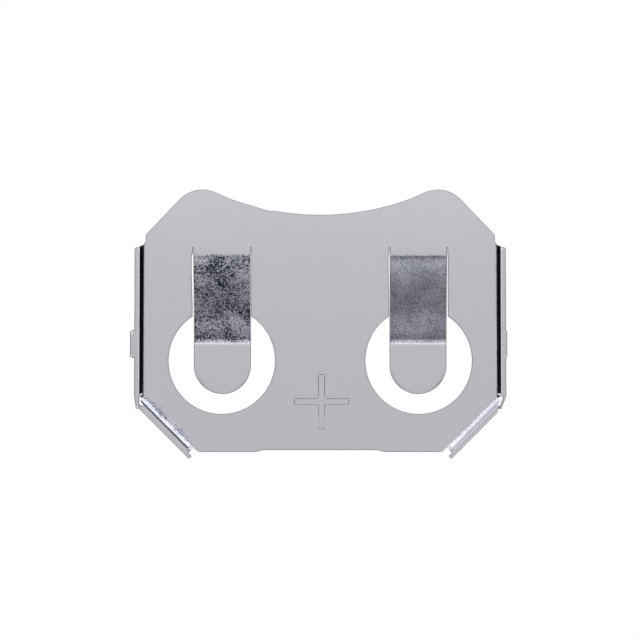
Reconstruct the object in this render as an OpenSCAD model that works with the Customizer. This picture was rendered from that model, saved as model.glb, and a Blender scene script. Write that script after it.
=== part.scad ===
// Surface-mount holder for one coin cell: a single folded piece of spring sheet.
// A flat top plate carries two side walls and two slanted stop walls, each of them
// turned out into a solder foot, and two lanced fingers that press on the cell.
// Frame: X across, +Y towards the side where the cell slides in, +Z up,
// with z = 0 on the underside of the feet and x = y = 0 in the middle of the plate.
// Lengths are in millimetres and angles in degrees.

/* [Cell] */
// Diameter of the coin cell
cell_d = 20; // [16:0.1:25]
// Thickness of the coin cell
cell_h = 3.2; // [1.6:0.1:5.4]
// Play between the rim of the cell and each side wall
cell_play = 0.12; // [0.05:0.01:0.3]
// How far the centre of the seated cell lies behind the middle of the plate
cell_back = 0.4; // [0:0.1:1]
// Height between the cell and the underside of the plate
headroom = 0.75; // [0.5:0.05:1.5]

/* [Sheet] */
// Thickness of the sheet
sheet_t = 0.25; // [0.15:0.01:0.35]
// Inside radius of the wall and foot bends
bend_r = 0.15; // [0.1:0.01:0.25]

/* [Plate] */
// Length of the plate, from the tops of the horns to the rear edge
plate_l = 15; // [12.5:0.5:18]
// Radius of the two horns at the front corners
horn_r = 1.8; // [1.2:0.1:2.4]
// Distance of each horn's centre from the side bend line
horn_in = 3.24; // [2.8:0.02:4]
// Slope of the front corner edges against the X axis
corner_slope = 46.5; // [40:0.5:50]
// Slope of the edge that falls from each horn to the hollow
flank_slope = 24; // [18:1:28]
// Radius of the hollow in the front edge
hollow_r = 14.9; // [12:0.1:20]
// Depth of the hollow below the tops of the horns
hollow_dip = 1.45; // [1:0.05:2]
// Depth of the shallow set-back in the middle of the rear edge
rear_set = 0.11; // [0.05:0.01:0.3]
// Half width of that set-back
rear_half = 3.22; // [2:0.02:4]
// Length of the slanted step at each end of it
rear_step = 0.46; // [0.2:0.02:1]
// Depth of the punch mark that starts left of the middle of the hollow
mark_d = 0.07; // [0.03:0.01:0.12]
// Distance of that punch mark from the middle
mark_x = 2.72; // [1.5:0.02:4]
// Length over which the punch mark runs out
mark_l = 1.15; // [0.5:0.05:2]

/* [Walls] */
// Straight edge between each front corner and the relief of the side bend
side_edge = 0.28; // [0.1:0.01:0.6]
// Radius of the relief in front of each side wall
relief_r = 0.33; // [0.15:0.01:0.35]
// Radius of the round ear that the plate keeps between a side bend and a stop bend
ear_r = 0.2; // [0.1:0.01:0.3]
// Set-back of each side wall's rear end from the corner of the outer wall faces
side_wall_set = 0.33; // [0.2:0.01:0.5]
// Set-back of each stop wall's upper end from that corner
stop_wall_set = 0.14; // [0.1:0.01:0.4]
// Set-back of each stop wall's lower end from the corner of the plate
stop_end_set = 0.62; // [0.3:0.02:1]
// Width of the curled lip that is left beside the stop wall's lower end
lip_w = 0.1; // [0.05:0.01:0.2]

/* [Feet] */
// Flat width of the side feet
side_foot = 0.34; // [0.3:0.01:1]
// Flat width of the feet of the stop walls
stop_foot = 0.26; // [0.2:0.01:1]
// Length by which a foot runs past the free end of its wall
foot_over = 0.27; // [0.1:0.01:0.5]
// Set-back of those foot ends from the foot bend
foot_inset = 0.03; // [0.02:0.01:0.08]
// Radius on the front corner of each side foot
foot_round = 0.16; // [0.05:0.01:0.25]
// Radius on the upper corner of the right stop foot
stop_round_right = 0.2; // [0.05:0.01:0.25]
// Radius on the upper corner of the left stop foot
stop_round_left = 0.05; // [0.03:0.01:0.25]
// Gap between the tail of a side foot and the stop foot beside it
seam_gap = 0.03; // [0.02:0.01:0.1]
// Distance of that seam outside the corner of the outer wall faces
seam_out = 0.16; // [0.12:0.01:0.25]
// Lean of the right seam against the Y axis, inwards to the rear
seam_lean_right = 19; // [-10:1:25]
// Lean of the left seam against the Y axis, inwards to the rear
seam_lean_left = -7; // [-10:1:25]
// Where a tail starts to taper, in front of that corner
tail_start = 0.37; // [0.35:0.01:0.6]
// How far a tail reaches behind that corner
tail_reach = 0.38; // [0.2:0.01:0.4]
// Width of a tail at its tip
tail_tip = 0.14; // [0.1:0.01:0.25]
// Length of the break-off stub on each side foot
stub_l = 1.7; // [1:0.05:2.5]
// Distance of the stubs behind the middle of the plate
stub_back = 1.1; // [0:0.05:1.5]
// How far the left stub stands out of its foot
stub_left = 0.25; // [0.05:0.01:0.4]
// How far the right stub stands out of its foot
stub_right = 0.06; // [0.03:0.01:0.4]
// Draft at each end of a stub
stub_draft = 0.16; // [0.05:0.01:0.3]

/* [Windows and fingers] */
// Radius of the round windows
window_r = 3.035; // [2.5:0.005:3.7]
// Web between each window and the side bend line
window_web = 1.325; // [0.8:0.005:1.8]
// Distance of the windows behind the middle of the plate
window_back = 2.3; // [1.8:0.05:2.6]
// Width of the fingers
finger_w = 3.27; // [2.7:0.01:4]
// Gap that is sheared free along each side of a finger
lance_gap = 0.03; // [0.02:0.01:0.1]
// Length by which the sheared slots run past the finger's bend
lance_over = 0.4; // [0.2:0.05:0.6]
// Length of the sloped part of a finger, seen from above
ramp_run = 4.96; // [4:0.02:5.5]
// Length of the flat fingertip behind the slope
tip_l = 2.955; // [2.4:0.005:3.5]
// Space between the fingertip and the rear rim of its window
tip_space = 1.18; // [0.8:0.02:1.6]
// Depth of the fingertips below the plate
tip_drop = 1.1; // [0.6:0.05:1.5]
// Inside radius of the finger bends
finger_bend_r = 0.6; // [0.3:0.05:1]

/* [Hidden] */
$fn = 96;

// Room for shapes that are only cut with, and laps between shapes that are joined
spare = 2;
lap = 0.5;
hair = 0.02;

// Facets in each bend of a finger
FINGER_BEND_STEPS = 4;

// Plate and bends
plate_top = cell_h + headroom + sheet_t;
bend_out = bend_r + sheet_t;
front_y = plate_l / 2;
rear_y = -plate_l / 2;
side_edge_x = cell_d / 2 + cell_play - bend_r;
side_out_x = side_edge_x + bend_out;

// The stop walls face the cell at 45 degrees, and touch it. They are turned into
// place in two steps, which keeps them true to size: the rounding errors of the two
// sines and cosines cancel out.
STOP_TURN = -45;
FIRST_TURN = -14;
stop_edge_n = cell_d / 2 + cell_back * sin(-STOP_TURN) - bend_r;
stop_out_n = stop_edge_n + bend_out;

// Corner of the two bend lines, and corner of the outer faces of both walls: the
// latter in the frame of the plate and along the stop wall
bend_corner_y = side_edge_x - sqrt(2) * stop_edge_n;
corner_y = side_out_x - sqrt(2) * stop_out_n;
corner_v = (side_out_x + corner_y) / sqrt(2);

// Front corner of the plate: a slanted edge that runs onto the horn
horn_x = side_edge_x - horn_in;
horn_y = front_y - horn_r;
horn_out = [horn_x + horn_r * sin(corner_slope), horn_y + horn_r * cos(corner_slope)];
horn_mid = [horn_x - horn_r * sin(flank_slope), horn_y + horn_r * cos(flank_slope)];
front_corner_y = horn_out.y - (side_edge_x - horn_out.x) * tan(corner_slope);
hollow_low = front_y - hollow_dip;
hollow_y = hollow_low + hollow_r;

// Ends of the walls
bend_relief = min(relief_r, bend_out - hair);
side_front_y = front_corner_y - side_edge - bend_relief;
side_rear_y = corner_y + side_wall_set;
plate_corner_v = stop_edge_n - plate_l / sqrt(2);
stop_low_v = plate_corner_v + stop_end_set;
stop_high_v = corner_v - stop_wall_set;

// Feet, measured outwards from the bend line
foot_start = bend_out + bend_r;
foot_end_in = foot_start + foot_inset;
side_foot_out = foot_start + side_foot;
stop_foot_out = foot_start + stop_foot;

// Windows and fingers
window_x = side_edge_x - window_web - window_r;
tip_y = tip_space - window_back - window_r;
ramp_low_y = tip_y + tip_l;
ramp_high_y = ramp_low_y + ramp_run;
lance_y = ramp_high_y + lance_over;
ramp_angle = atan(tip_drop / ramp_run);
finger_bend_out = finger_bend_r + sheet_t;
high_tangent = finger_bend_out * tan(ramp_angle / 2);
low_tangent = finger_bend_r * tan(ramp_angle / 2);

// x of the edge of the stop foot along the seam at a given y
function seam_x(lean, y) = side_out_x + seam_out + tan(lean) * (y - corner_y);

// x of the edge of the tail along the same seam
function tail_x(lean, y) = seam_x(lean, y) + seam_gap / cos(lean);

// v of the seam along the stop wall, at a distance u from the stop bend line
function seam_v(lean, u) =
    corner_v + seam_out / sqrt(2)
    - (u - bend_out - seam_out / sqrt(2)) / tan(-STOP_TURN - lean);

// Section of a bend between the angles a and b, about its centre
module bend_section(r, a, b) {
    reach = 2 * (r + sheet_t);
    intersection() {
        difference() {
            circle(r + sheet_t);
            circle(r);
        }
        polygon([
            [0, 0],
            reach * [cos(a), sin(a)],
            reach * [cos((a + b) / 2), sin((a + b) / 2)],
            reach * [cos(b), sin(b)]
        ]);
    }
}

// Piece that rounds a corner to radius r when it is cut away. The corner lies at the
// origin, below an edge that comes up along the Y axis and turns left there.
module corner_cut(r, turn) {
    tangent = r * tan(turn / 2);
    difference() {
        polygon([
            [-r, -tangent],
            [hair, -tangent],
            [hair, hair * tan(turn / 2)],
            tangent * [-sin(turn), cos(turn)] + hair * [cos(turn), sin(turn)]
        ]);
        translate([-r, -tangent]) circle(r);
    }
}

// Section across a wall: lap on the plate, bend, wall, foot bend and foot.
// x = 0 is the bend line and y is the height above the board.
module wall_section(foot) {
    translate([-lap, plate_top - sheet_t]) square([lap, sheet_t]);
    translate([0, plate_top - bend_out]) bend_section(bend_r, 0, 90);
    translate([bend_r, bend_out]) square([sheet_t, plate_top - 2 * bend_out]);
    translate([foot_start, bend_out]) bend_section(bend_r, 180, 270);
    translate([foot_start, 0]) square([foot, sheet_t]);
}

// The wall section as a bar along the bend line from y = a to y = b
module wall_bar(foot, a, b) {
    translate([0, b, 0])
        rotate([90, 0, 0])
            linear_extrude(b - a) wall_section(foot);
}

// Keeps the part of a bar that lies over the plan outline of its second child
module trimmed() {
    intersection() {
        children(0);
        translate([0, 0, -spare])
            linear_extrude(plate_top + 2 * spare) children(1);
    }
}

// Turns what was drawn along the Y axis to the right stop bend line
module at_stop() {
    rotate([0, 0, STOP_TURN - FIRST_TURN])
        rotate([0, 0, FIRST_TURN])
            translate([stop_edge_n, 0, 0])
                children();
}

// Plan outline of a side wall with its front relief and the front end of its foot
module side_plan() {
    foot_front = side_front_y + foot_over;
    translate([-spare, side_rear_y])
        square([spare + foot_end_in, side_front_y - side_rear_y]);
    difference() {
        translate([-spare, side_front_y - hair]) square([spare + bend_relief, bend_relief + hair]);
        translate([bend_relief, side_front_y + bend_relief]) circle(bend_relief);
    }
    difference() {
        translate([foot_end_in, side_rear_y]) square([spare, foot_front - side_rear_y]);
        translate([side_foot_out, foot_front]) corner_cut(foot_round, 90);
    }
}

// Tail that carries the rear end of the right side foot round the corner
module tail(lean) {
    taper_y = corner_y + tail_start;
    end_y = corner_y - tail_reach;
    linear_extrude(sheet_t)
        polygon([
            [side_edge_x + side_foot_out, taper_y + hair],
            [side_edge_x + side_foot_out, taper_y],
            [tail_x(lean, end_y) + tail_tip, end_y],
            [tail_x(lean, end_y), end_y],
            [tail_x(lean, side_rear_y), side_rear_y],
            [side_edge_x + foot_end_in, side_rear_y],
            [side_edge_x + foot_end_in, taper_y + hair]
        ]);
}

// Cuts the corner off the side foot where its tail tapers
module tail_taper(lean) {
    taper_y = corner_y + tail_start;
    end_y = corner_y - tail_reach;
    translate([0, 0, -spare])
        linear_extrude(2 * spare)
            polygon([
                [side_edge_x + side_foot_out, taper_y],
                [tail_x(lean, end_y) + tail_tip, end_y],
                [side_edge_x + side_foot_out + spare, end_y],
                [side_edge_x + side_foot_out + spare, taper_y]
            ]);
}

// Stub of the strip that carried the blank, on the outer edge of the right side foot
module stub(out) {
    foot_x = side_edge_x + side_foot_out;
    linear_extrude(sheet_t)
        polygon([
            [foot_x - hair, -stub_back + stub_l / 2],
            [foot_x, -stub_back + stub_l / 2],
            [foot_x + out, -stub_back + stub_l / 2 - stub_draft],
            [foot_x + out, -stub_back - stub_l / 2 + stub_draft / 2],
            [foot_x, -stub_back - stub_l / 2],
            [foot_x - hair, -stub_back - stub_l / 2]
        ]);
}

// Right side wall, foot, tail and stub
module side_wall(stub_out, lean) {
    difference() {
        translate([side_edge_x, 0, 0])
            trimmed() {
                wall_bar(side_foot, side_rear_y - spare, side_front_y + spare);
                side_plan();
            }
        tail_taper(lean);
    }
    tail(lean);
    stub(stub_out);
}

// Plan outline of a stop wall and its foot, from the plate's corner to the seam
module stop_plan(lean, round_r) {
    foot_low = stop_low_v - foot_over;
    translate([-spare, stop_low_v])
        square([spare + foot_end_in, stop_high_v - stop_low_v]);
    difference() {
        polygon([
            [foot_end_in, foot_low],
            [stop_foot_out + spare, foot_low],
            [stop_foot_out + spare, seam_v(lean, stop_foot_out + spare)],
            [foot_end_in, seam_v(lean, foot_end_in)]
        ]);
        translate([stop_foot_out, seam_v(lean, stop_foot_out)])
            corner_cut(round_r, -STOP_TURN - lean);
    }
}

// Right stop wall and its foot
module stop_wall(lean, round_r) {
    at_stop()
        trimmed() {
            wall_bar(stop_foot, stop_low_v - spare, corner_v + spare);
            stop_plan(lean, round_r);
        }
}

// Curled lip of the plate beside the lower end of the right stop wall
module stop_lip() {
    intersection() {
        at_stop()
            trimmed() {
                wall_bar(stop_foot, plate_corner_v - spare, stop_low_v + hair);
                translate([-spare, plate_corner_v - spare])
                    square([spare + lip_w, stop_end_set + spare + hair]);
            }
        translate([0, rear_y, 0]) cube([cell_d, plate_l, 2 * plate_top]);
    }
}

// Right half of the plate's outline, from the rear edge to the horn
module half_outline() {
    inset_n = stop_edge_n - lap / 2;
    inset_v = stop_high_v - lap;
    polygon([
        [-hair, rear_y + rear_set],
        [rear_half, rear_y + rear_set],
        [rear_half + rear_step, rear_y],
        [sqrt(2) * inset_n + rear_y, rear_y],
        [(inset_v + inset_n) / sqrt(2), (inset_v - inset_n) / sqrt(2)],
        [side_edge_x, bend_corner_y],
        [side_edge_x, front_corner_y],
        horn_out,
        [horn_x, horn_y],
        horn_mid,
        [horn_mid.x - hollow_dip / tan(flank_slope), horn_mid.y - hollow_dip],
        [-hair, horn_mid.y - hollow_dip]
    ]);
    translate([horn_x, horn_y]) circle(horn_r);
    translate([side_edge_x, bend_corner_y]) circle(ear_r);
    difference() {
        translate([-hair, 0]) square([horn_mid.x + hair, front_y]);
        translate([0, hollow_y]) circle(hollow_r);
    }
}

// Shallow mark that a second punch left in the hollow
module punch_mark() {
    mark_y = hollow_y - sqrt(pow(hollow_r, 2) - pow(mark_x, 2));
    end_y = hollow_y - sqrt(pow(hollow_r, 2) - pow(mark_x + mark_l, 2));
    polygon([
        [-mark_x, mark_y + hair],
        [-mark_x, mark_y - mark_d],
        [-mark_x - mark_l, end_y],
        [-mark_x - mark_l, end_y + hair]
    ]);
}

// Window and lanced opening round one finger
module finger_opening() {
    translate([window_x, -window_back]) circle(window_r);
    translate([window_x - finger_w / 2 - lance_gap, -window_back])
        square([finger_w + 2 * lance_gap, lance_y + window_back]);
}

// Flat plate with its two windows
module plate() {
    translate([0, 0, plate_top - sheet_t])
        linear_extrude(sheet_t)
            difference() {
                union() {
                    half_outline();
                    mirror([1, 0]) half_outline();
                }
                finger_opening();
                mirror([1, 0]) finger_opening();
                punch_mark();
            }
}

// Points on an arc of radius r about a centre, from angle a to angle b
function arc_points(centre, r, a, b) = [
    for (i = [0:FINGER_BEND_STEPS])
        let (angle = a + (b - a) * i / FINGER_BEND_STEPS)
            centre + r * [cos(angle), sin(angle)]
];

// Section along a finger. x runs down the finger from the crease of its upper
// bend, and y is the height above the plate's top face.
module finger_section() {
    root_x = -lance_over - lap;
    end_x = ramp_run + low_tangent + tip_l + spare;
    high_centre = [-high_tangent, -finger_bend_out];
    low_centre = [ramp_run + low_tangent, finger_bend_r - tip_drop];
    polygon(concat(
        [[root_x, 0]],
        arc_points(high_centre, finger_bend_out, 90, 90 - ramp_angle),
        arc_points(low_centre, finger_bend_r, 270 - ramp_angle, 270),
        [[end_x, -tip_drop], [end_x, -tip_drop - sheet_t]],
        arc_points(low_centre, finger_bend_out, 270, 270 - ramp_angle),
        arc_points(high_centre, finger_bend_r, 90 - ramp_angle, 90),
        [[root_x, -sheet_t]]
    ));
}

// Right finger: sloped down from the plate, with a flat tip that ends in a half round
module finger() {
    translate([window_x, 0, 0])
        intersection() {
            translate([finger_w / 2 + spare, ramp_high_y, plate_top])
                rotate([90, 0, -90])
                    linear_extrude(finger_w + 2 * spare) finger_section();
            linear_extrude(2 * plate_top) {
                translate([0, tip_y + finger_w / 2]) circle(finger_w / 2);
                translate([-finger_w / 2, tip_y + finger_w / 2])
                    square([finger_w, lance_y + lap - tip_y]);
            }
        }
}

// Everything that hangs on the right half of the plate
module right_half(stub_out, lean, round_r) {
    side_wall(stub_out, lean);
    stop_wall(lean, round_r);
    stop_lip();
    finger();
}

// The whole folded piece
module retainer() {
    color([0.76, 0.76, 0.78]) {
        plate();
        right_half(stub_right, seam_lean_right, stop_round_right);
        mirror([1, 0, 0]) right_half(stub_left, seam_lean_left, stop_round_left);
    }
}

retainer();
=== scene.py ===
"""Coin cell holder: one folded spring sheet with a bright plated finish, in a pale studio."""

import logging
import math
from collections.abc import Sequence
from dataclasses import dataclass, field
from itertools import accumulate

import bpy
import numpy as np
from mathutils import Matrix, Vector
from mathutils.geometry import delaunay_2d_cdt
from mathutils.kdtree import KDTree


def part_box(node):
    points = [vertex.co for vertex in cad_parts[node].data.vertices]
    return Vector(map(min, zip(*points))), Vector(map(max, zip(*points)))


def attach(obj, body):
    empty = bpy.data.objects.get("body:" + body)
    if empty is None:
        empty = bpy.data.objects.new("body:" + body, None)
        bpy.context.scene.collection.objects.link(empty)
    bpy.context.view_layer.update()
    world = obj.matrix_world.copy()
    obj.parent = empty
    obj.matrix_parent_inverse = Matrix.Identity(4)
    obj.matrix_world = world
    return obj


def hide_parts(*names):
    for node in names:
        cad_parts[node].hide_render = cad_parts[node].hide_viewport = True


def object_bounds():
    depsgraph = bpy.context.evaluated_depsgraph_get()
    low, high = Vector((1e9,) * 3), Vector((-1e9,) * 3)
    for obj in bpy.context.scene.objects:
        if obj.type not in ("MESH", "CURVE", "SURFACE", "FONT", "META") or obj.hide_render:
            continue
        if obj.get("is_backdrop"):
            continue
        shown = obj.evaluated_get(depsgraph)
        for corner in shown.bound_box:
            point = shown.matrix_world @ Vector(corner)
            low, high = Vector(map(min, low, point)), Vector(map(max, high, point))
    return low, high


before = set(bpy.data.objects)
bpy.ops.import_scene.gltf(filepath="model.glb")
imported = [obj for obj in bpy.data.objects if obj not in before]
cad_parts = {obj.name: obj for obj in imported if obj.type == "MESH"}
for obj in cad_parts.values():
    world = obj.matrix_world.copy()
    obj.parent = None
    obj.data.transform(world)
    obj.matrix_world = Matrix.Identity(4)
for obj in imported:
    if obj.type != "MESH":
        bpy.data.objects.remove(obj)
CAD_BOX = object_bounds()

LOG = logging.getLogger("holder")
MM = 0.001
TINY = 0.0004
DIAGONAL = math.sqrt(2)


def set_input(node: bpy.types.Node, **values: object) -> bpy.types.Node:
    """Sets input sockets of a node by name.

    Args:
        node: The node whose sockets are set.
        values: Socket names, with underscores for spaces, and their values.

    Returns:
        The same node.
    """
    for name, value in values.items():
        node.inputs[name.replace("_", " ")].default_value = value
    return node


@dataclass(frozen=True)
class NodeBoard:
    """Short ways to add and join nodes in one node tree."""

    tree: bpy.types.NodeTree

    def add(self, kind: str, **settings: object) -> bpy.types.Node:
        """Adds a node.

        Args:
            kind: The node's type, without the ShaderNode prefix.
            settings: Properties to set on the node.

        Returns:
            The new node.
        """
        node = self.tree.nodes.new("ShaderNode" + kind)
        for name, value in settings.items():
            setattr(node, name, value)
        return node

    def join(self, out: bpy.types.NodeSocket, into: bpy.types.NodeSocket) -> None:
        """Joins an output socket to an input socket."""
        self.tree.links.new(out, into)

    def math(self, operation: str, *terms: object) -> bpy.types.NodeSocket:
        """Adds a math node.

        Args:
            operation: The operation, such as MULTIPLY.
            terms: Sockets or numbers for its inputs.

        Returns:
            The result's socket.
        """
        node = self.add("Math", operation=operation)
        for place, term in enumerate(terms):
            if isinstance(term, bpy.types.NodeSocket):
                self.join(term, node.inputs[place])
            else:
                node.inputs[place].default_value = term
        return node.outputs[0]

    def ease(self, value: bpy.types.NodeSocket, start: float, end: float,
             low: float = 0.0, high: float = 1.0) -> bpy.types.NodeSocket:
        """Adds a smooth step.

        Args:
            value: What the step reads.
            start: Where the step starts.
            end: Where the step ends.
            low: Result before the start.
            high: Result after the end.

        Returns:
            The result's socket.
        """
        node = self.add("MapRange", interpolation_type="SMOOTHSTEP")
        self.join(value, node.inputs["Value"])
        set_input(node, From_Min=start, From_Max=end, To_Min=low, To_Max=high)
        return node.outputs["Result"]

    def noise(self, where: bpy.types.NodeSocket, size: float, detail: float = 2.0,
              rough: float = 0.5) -> bpy.types.NodeSocket:
        """Adds a noise texture.

        Args:
            where: The coordinates.
            size: Size of its grains in metres.
            detail: Number of finer octaves.
            rough: Strength of the finer octaves.

        Returns:
            The noise, from 0 to 1.
        """
        node = self.add("TexNoise")
        self.join(where, node.inputs["Vector"])
        set_input(node, Scale=1.0 / size, Detail=detail, Roughness=rough)
        return node.outputs["Fac"]

    def mark(self, name: str) -> bpy.types.NodeSocket:
        """Reads a mark that the mesh carries at its points."""
        return self.add("Attribute", attribute_name=name).outputs["Fac"]

    def blend(self, share: bpy.types.NodeSocket, first: object, second: object) -> bpy.types.NodeSocket:
        """Mixes two colours.

        Args:
            share: How much of the second colour shows.
            first: A colour or its socket.
            second: A colour or its socket.

        Returns:
            The mixed colour's socket.
        """
        mix = self.add("Mix", data_type="RGBA")
        self.join(share, mix.inputs[0])
        for place, colour in ((6, first), (7, second)):
            if isinstance(colour, bpy.types.NodeSocket):
                self.join(colour, mix.inputs[place])
            else:
                mix.inputs[place].default_value = (*colour, 1.0)
        return mix.outputs[2]


@dataclass(frozen=True)
class BrightPlate:
    """Bright plated sheet: a fine grain, coarser where it was worked, with a painted cool reflection tint,
    painted dark pit shade and painted white glints there, dull where it was cut.

    Grain sizes and heights are in metres. A threshold pair is where an effect starts and where it is full.
    """

    name: str = "bright_plate"
    colour: tuple[float, float, float] = (0.655, 0.645, 0.685)
    streak_shade: float = 0.95
    streak_share: float = 0.4
    roughness: float = 0.12
    cloud_roughness: float = 0.06
    cloud: float = 0.0012
    grain: float = 0.00012
    grain_height: float = 0.0000016
    worked_mark: str = "worked"
    # The worked colour is a painted cool reflection tint, laid on the bends and finger ramps where the
    # metal was worked.
    worked_from: tuple[float, float] = (0.3, 0.6)
    worked_reflection_tint: tuple[float, float, float] = (0.56, 0.57, 0.68)
    worked_grain: float = 0.00009
    worked_height: float = 0.0000022
    # Painted shade: near-black specks stand for the shade in pits of the worked metal, and the white
    # glints are painted highlights.
    pit: float = 0.0001
    pit_shade_from: tuple[float, float] = (0.53, 0.59)
    pit_shade_share: float = 0.95
    pit_shade_colour: tuple[float, float, float] = (0.03, 0.035, 0.06)
    cluster: float = 0.0011
    clustering: float = 0.5
    glint_from: tuple[float, float] = (0.45, 0.38)
    glint_share: float = 0.7
    glint_colour: tuple[float, float, float] = (0.95, 0.95, 0.98)
    cut_mark: str = "cut"
    cut_from: tuple[float, float] = (0.2, 0.75)
    cut_colour: tuple[float, float, float] = (0.2, 0.19, 0.215)
    cut_patches: tuple[float, float] = (0.2, 0.6)
    cut_share: tuple[float, float] = (0.65, 0.95)

    def make(self) -> bpy.types.Material:
        """Builds the material.

        Returns:
            The new material.
        """
        material = bpy.data.materials.new(self.name)
        material.use_nodes = True
        board = NodeBoard(material.node_tree)
        shader = material.node_tree.nodes["Principled BSDF"]
        where = board.add("TexCoord").outputs["Object"]
        cloud = board.noise(where, self.cloud, 2.0, 0.5)
        worked = board.mark(self.worked_mark)
        board.join(self.tone(board, where, cloud, worked), shader.inputs["Base Color"])
        board.join(self.relief(board, where, worked), shader.inputs["Normal"])
        board.join(board.math("MULTIPLY_ADD", cloud, self.cloud_roughness, self.roughness),
                   shader.inputs["Roughness"])
        set_input(shader, Metallic=1.0)
        return material

    def tone(self, board: NodeBoard, where: bpy.types.NodeSocket, cloud: bpy.types.NodeSocket,
             worked: bpy.types.NodeSocket) -> bpy.types.NodeSocket:
        """Works out the colour: plain plate, then worked metal with a painted cool reflection tint,
        painted dark pit shade and painted white glints, then cut edges.

        Args:
            board: The material's node tree.
            where: Coordinates on the piece.
            cloud: Broad soft patches.
            worked: How much the metal was worked.

        Returns:
            The colour's socket.
        """
        pits = board.noise(where, self.pit, 1.0, 0.7)
        cluster = board.noise(where, self.cluster, 1.0, 0.5)
        blotch = board.math("MULTIPLY", board.math("SUBTRACT", cluster, 0.5), self.clustering)
        grains = board.math("ADD", pits, blotch)
        strong = board.math("MULTIPLY", worked, worked)
        # Painted shade: near-black specks where the worked metal has pits.
        deep = board.math("MULTIPLY", board.math("MULTIPLY", board.ease(grains, *self.pit_shade_from), strong),
                          self.pit_shade_share)
        # Painted highlights: white glints on the worked metal.
        pale = board.math("MULTIPLY", board.math("MULTIPLY", board.ease(grains, *self.glint_from), worked),
                          self.glint_share)
        bare = board.math("MULTIPLY", board.ease(board.mark(self.cut_mark), *self.cut_from),
                          board.ease(pits, *self.cut_patches, *self.cut_share))
        plain = board.blend(board.math("MULTIPLY", cloud, self.streak_share), self.colour,
                            tuple(self.streak_shade * part for part in self.colour))
        # Painted reflection: a cool tint on the worked metal.
        cool = board.blend(board.ease(worked, *self.worked_from), plain, self.worked_reflection_tint)
        pit_shaded = board.blend(deep, cool, self.pit_shade_colour)
        glinting = board.blend(pale, pit_shaded, self.glint_colour)
        return board.blend(bare, glinting, self.cut_colour)

    def relief(self, board: NodeBoard, where: bpy.types.NodeSocket,
               worked: bpy.types.NodeSocket) -> bpy.types.NodeSocket:
        """Adds the grain's relief.

        Args:
            board: The material's node tree.
            where: Coordinates on the piece.
            worked: How much the metal was worked.

        Returns:
            The normal's socket.
        """
        fine = board.math("MULTIPLY", board.noise(where, self.grain, 2.0, 0.6), self.grain_height)
        coarse = board.math("MULTIPLY", board.noise(where, self.worked_grain, 2.0, 0.65), worked)
        bump = set_input(board.add("Bump"), Strength=1.0, Distance=1.0)
        board.join(board.math("ADD", fine, board.math("MULTIPLY", coarse, self.worked_height)),
                   bump.inputs["Height"])
        return bump.outputs["Normal"]


@dataclass(frozen=True)
class SheetStock:
    """The strip that the piece is cut from, in millimetres."""

    thick: float = 0.25
    bend_in: float = 0.15
    roll: float = 0.045
    burr: float = 0.015
    roll_steps: int = 4

    @property
    def bend_out(self) -> float:
        """Radius of the outer face of a bend."""
        return self.bend_in + self.thick

    @property
    def bend_length(self) -> float:
        """Length of sheet that a quarter bend takes up, along its middle."""
        return (self.bend_in + self.thick / 2) * math.pi / 2

    def rim_rows(self) -> list[tuple[float, float, float]]:
        """Lists the rows of the cut edge, rolled over above and with a small burr below.

        Returns:
            Reach out of the inset outline, depth, and turn away from the face's own direction.
        """
        angles = np.radians(np.linspace(0, 90, self.roll_steps + 1))
        rows = [(self.roll * math.sin(a), self.roll * (1 - math.cos(a)), a) for a in angles[1:]]
        for a in angles[::-1][:-1]:
            depth = self.thick - self.burr * (1 - math.cos(a))
            rows.append((self.roll * math.sin(a), depth, math.pi - a))
        return rows


@dataclass(frozen=True)
class WallSection:
    """Section of a wall and its foot, by the length of sheet from the bend line outwards."""

    stock: SheetStock
    top: float
    bend_step: float = 0.036
    wall_rows: int = 9
    foot_step: float = 0.1

    @property
    def wall(self) -> float:
        """Height of the flat part of the wall."""
        return self.top - 2 * self.stock.bend_out

    @property
    def foot_plan(self) -> float:
        """Distance of the flat foot's start from the bend line, seen from above."""
        return self.stock.bend_out + self.stock.bend_in

    @property
    def foot_start(self) -> float:
        """Length of sheet between the bend line and the flat foot."""
        return 2 * self.stock.bend_length + self.wall

    def unrolled(self, plan: float) -> float:
        """Finds the length of sheet up to a place that is given as seen from above.

        Args:
            plan: Distance outside the bend line, on the upper bend or on the foot.

        Returns:
            The length of sheet from the bend line.
        """
        if plan >= self.foot_plan:
            return self.foot_start + plan - self.foot_plan
        share = min(max(plan, 0.0) / self.stock.bend_out, 1.0)
        return self.stock.bend_length * math.asin(share) / (math.pi / 2)

    def at(self, length: np.ndarray) -> tuple[np.ndarray, np.ndarray, np.ndarray]:
        """Folds lengths of sheet.

        Args:
            length: Lengths of sheet from the bend line.

        Returns:
            Distance outwards, height, and the angle by which the face has turned outwards.
        """
        take = self.stock.bend_length
        quarter = math.pi / 2
        upper = np.clip(length / take, 0.0, 1.0) * quarter
        lower = np.clip((length - take - self.wall) / take, 0.0, 1.0) * quarter
        down = np.clip(length - take, 0.0, self.wall)
        along = np.clip(length - self.foot_start, 0.0, None)
        out = self.stock.bend_out * np.sin(upper) + self.stock.bend_in * (1 - np.cos(lower)) + along
        height = (self.top - self.stock.bend_out * (1 - np.cos(upper)) - down
                  - self.stock.bend_in * np.sin(lower))
        return out, height, upper - lower

    def rows(self, foot: float) -> np.ndarray:
        """Lists the lengths at which the sheet gets a row of points.

        Args:
            foot: Width of the flat foot.

        Returns:
            The lengths, from the bend line outwards.
        """
        take = self.stock.bend_length
        count = round(take / self.bend_step) + 1
        return np.concatenate([
            np.linspace(0.0, take, count),
            np.linspace(take, take + self.wall, self.wall_rows)[1:-1],
            np.linspace(take + self.wall, self.foot_start, count),
            np.arange(self.foot_start + self.foot_step, self.foot_start + foot, self.foot_step),
        ])


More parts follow.
